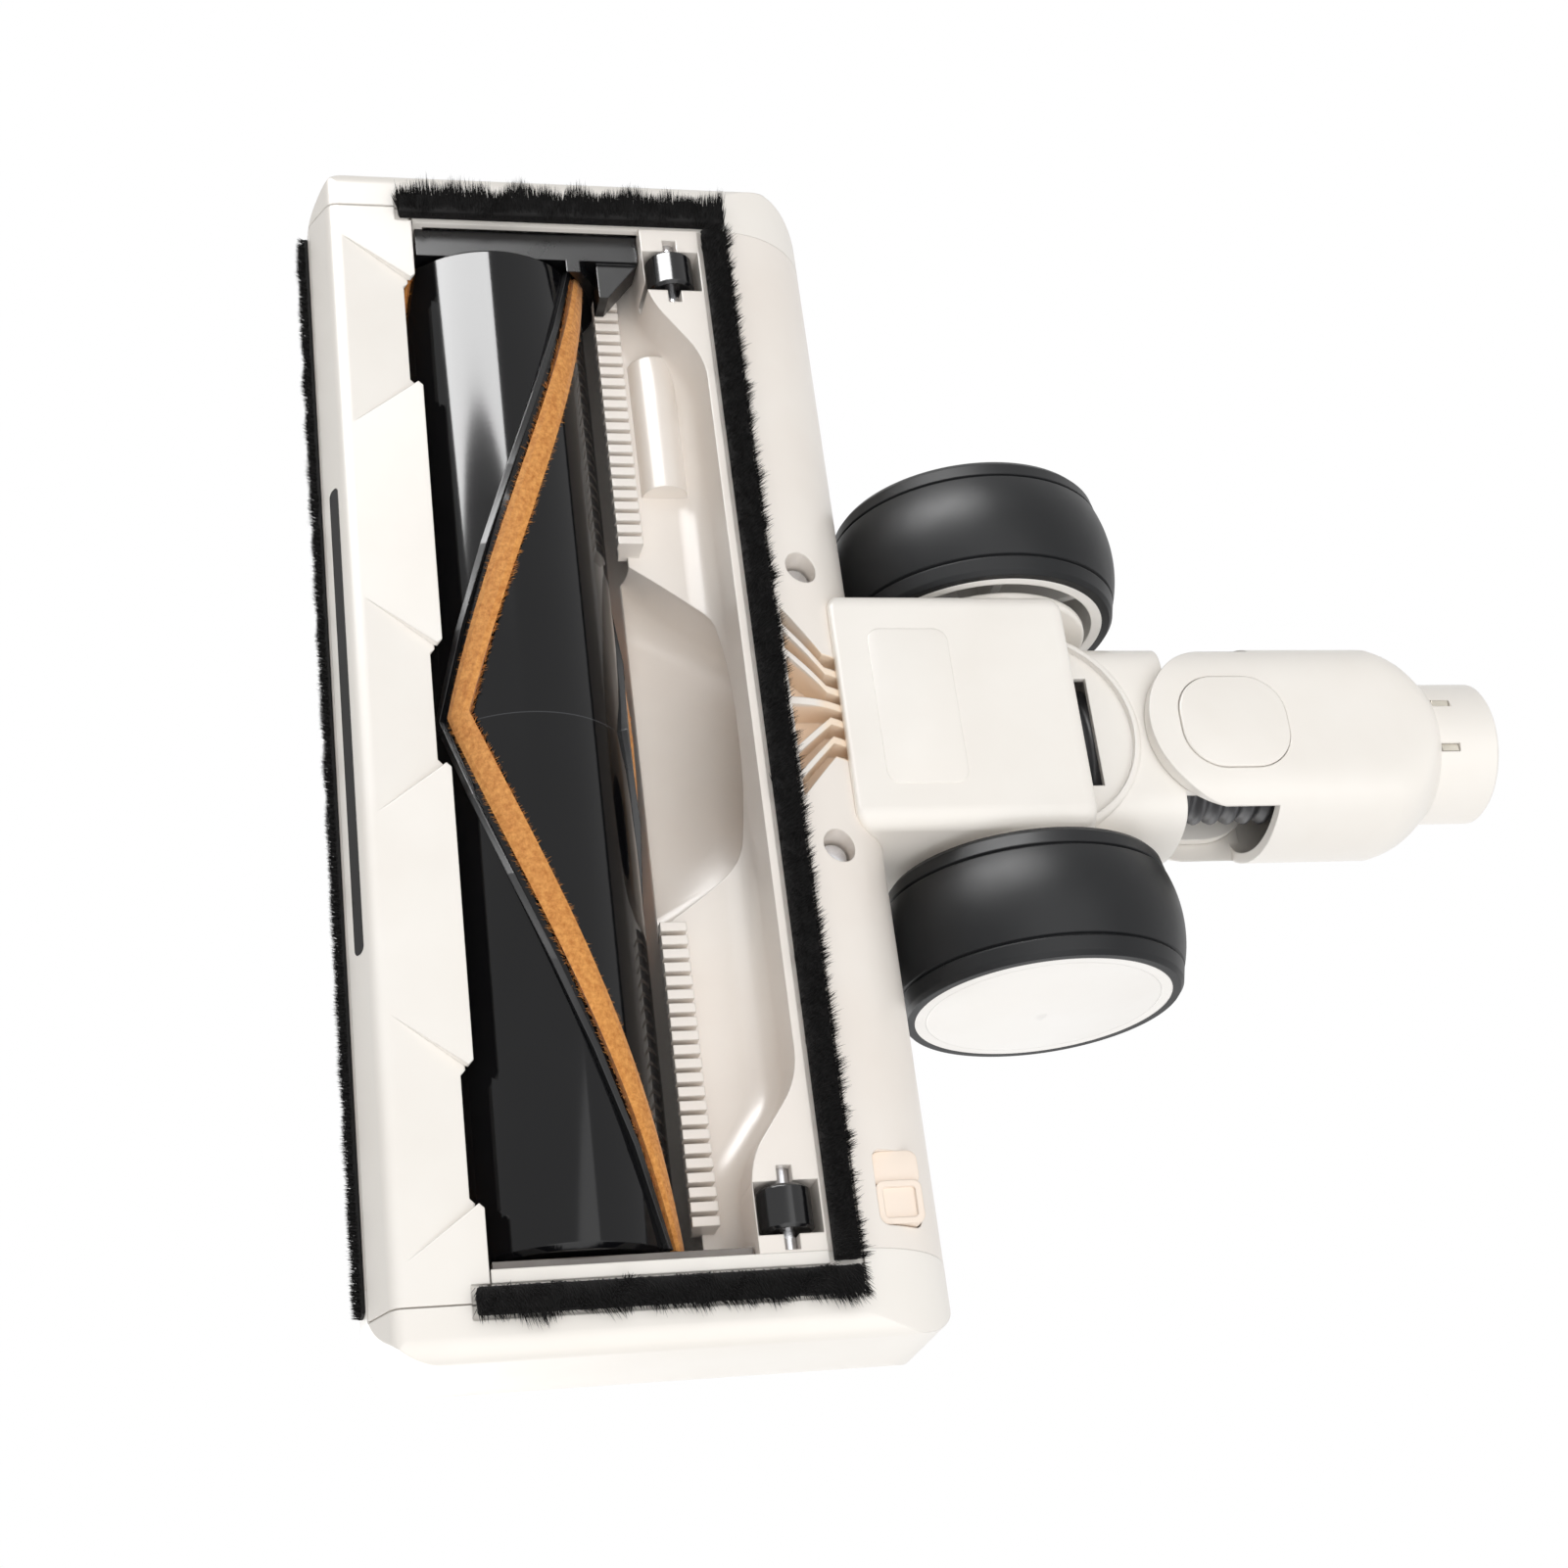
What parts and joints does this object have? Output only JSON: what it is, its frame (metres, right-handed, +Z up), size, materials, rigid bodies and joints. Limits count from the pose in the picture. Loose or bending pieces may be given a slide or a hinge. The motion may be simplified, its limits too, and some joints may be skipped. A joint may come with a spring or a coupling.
{
  "type": "vacuum floor brush head",
  "caption": "Powered floor brush head of a stick vacuum: wide body with a driven chevron bristle roller, felt strips, rear wheels and a tilting, swivelling neck.",
  "frame": {"origin": "middle of the part's footprint box, on the floor", "axes": "+Z up, +Y toward the neck's spigot, -Y the front of the head, +X the belt-drive end"},
  "size_m": [0.264, 0.2606, 0.0648],
  "materials": {
    "shell": "satin-gloss cream",
    "lip": "satin-gloss cream",
    "wheel_white": "satin white",
    "tyre": "satin charcoal rubber",
    "black_plastic": "gloss black",
    "black_rubber": "matt black",
    "felt": "short black pile",
    "bristle": "orange-tan nylon",
    "steel": "bright steel",
    "contact": "bright contact",
    "clear_plate": "clear smoky plastic",
    "window": "dark smoky window",
    "board": "white board",
    "hose": "satin dark grey",
    "motor_can": "satin grey",
    "motor_shaft": "steel"
  },
  "bodies": {
    "head": {"base_housing": "shell", "top_cover": "shell", "front_bumper": "lip", "front_strip": "black_rubber", "light_window": "window", "led_board": "board", "left_felt": "felt", "right_felt": "felt", "rear_felt": "felt", "end_cap": "shell", "bearing_plate": "clear_plate", "roller_bearing": "steel", "drive_bracket": "black_plastic", "drive_cover": "shell", "latch_spring": "steel", "motor": "motor_can", "drive_belt": "black_rubber", "support_pin_left": "steel", "support_pin_right": "steel", "neck_base": "shell", "axle_left": "steel", "axle_right": "steel", "housing_screws": "steel", "hose": "hose"},
    "roller": {"roller_core": "black_plastic", "bristle_strip_1": "bristle", "bristle_strip_2": "bristle", "bristle_strip_3": "bristle", "wiper_blade_1": "black_rubber", "wiper_blade_2": "black_rubber", "wiper_blade_3": "black_rubber", "roller_pulley": "black_plastic"},
    "motor_rotor": {"motor_pulley": "motor_shaft"},
    "latch": {"latch_slider": "shell"},
    "support_left": {"support_roller_left": "black_plastic"},
    "support_right": {"support_roller_right": "black_plastic"},
    "wheel_left": {"tyre_left": "tyre", "rim_left": "wheel_white", "wheel_cap_left": "wheel_white"},
    "wheel_right": {"tyre_right": "tyre", "rim_right": "wheel_white", "wheel_cap_right": "wheel_white"},
    "elbow": {"neck_elbow": "shell"},
    "tube": {"connector_tube": "shell", "pivot_cap_lower": "shell", "pivot_cap_upper": "shell", "pivot_pin_lower": "steel", "pivot_pin_upper": "steel", "contact_pins": "contact"}
  },
  "joints": [
    {"name": "roller_spin", "type": "hinge", "parent": "head", "child": "roller", "pos_m": [0, -0.08975, 0.024], "axis": [1, 0, 0], "continuous": true},
    {"name": "motor_spin", "type": "hinge", "parent": "head", "child": "motor_rotor", "pos_m": [0.111, -0.04875, 0.033], "axis": [1, 0, 0], "continuous": true},
    {"name": "wheel_left_spin", "type": "hinge", "parent": "head", "child": "wheel_left", "pos_m": [-0.044, 0.01775, 0.0324], "axis": [1, 0, 0], "continuous": true},
    {"name": "wheel_right_spin", "type": "hinge", "parent": "head", "child": "wheel_right", "pos_m": [0.044, 0.01775, 0.0324], "axis": [1, 0, 0], "continuous": true},
    {"name": "support_left_spin", "type": "hinge", "parent": "head", "child": "support_left", "pos_m": [-0.1073, -0.05025, 0.0067], "axis": [1, 0, 0], "continuous": true},
    {"name": "support_right_spin", "type": "hinge", "parent": "head", "child": "support_right", "pos_m": [0.1073, -0.05025, 0.0067], "axis": [1, 0, 0], "continuous": true},
    {"name": "latch_slide", "type": "slide", "parent": "head", "child": "latch", "axis": [1, 0, 0], "range_m": [0, 0.005], "stiffness_N_per_m": 300, "springref_m": -0.004, "deforming": ["latch_spring"]},
    {"name": "neck_pitch", "type": "hinge", "parent": "head", "child": "elbow", "pos_m": [0, 0.01775, 0.0324], "axis": [1, 0, 0], "range_deg": [0, 85], "deforming": ["hose"]},
    {"name": "neck_swivel", "type": "hinge", "parent": "elbow", "child": "tube", "pos_m": [0, 0.06625, 0.0324], "axis": [0, 0, 1], "range_deg": [-40, 40]}
  ],
  "couplings": [
    {"joint": "motor_spin", "follows": "roller_spin", "ratio": 2}
  ]
}
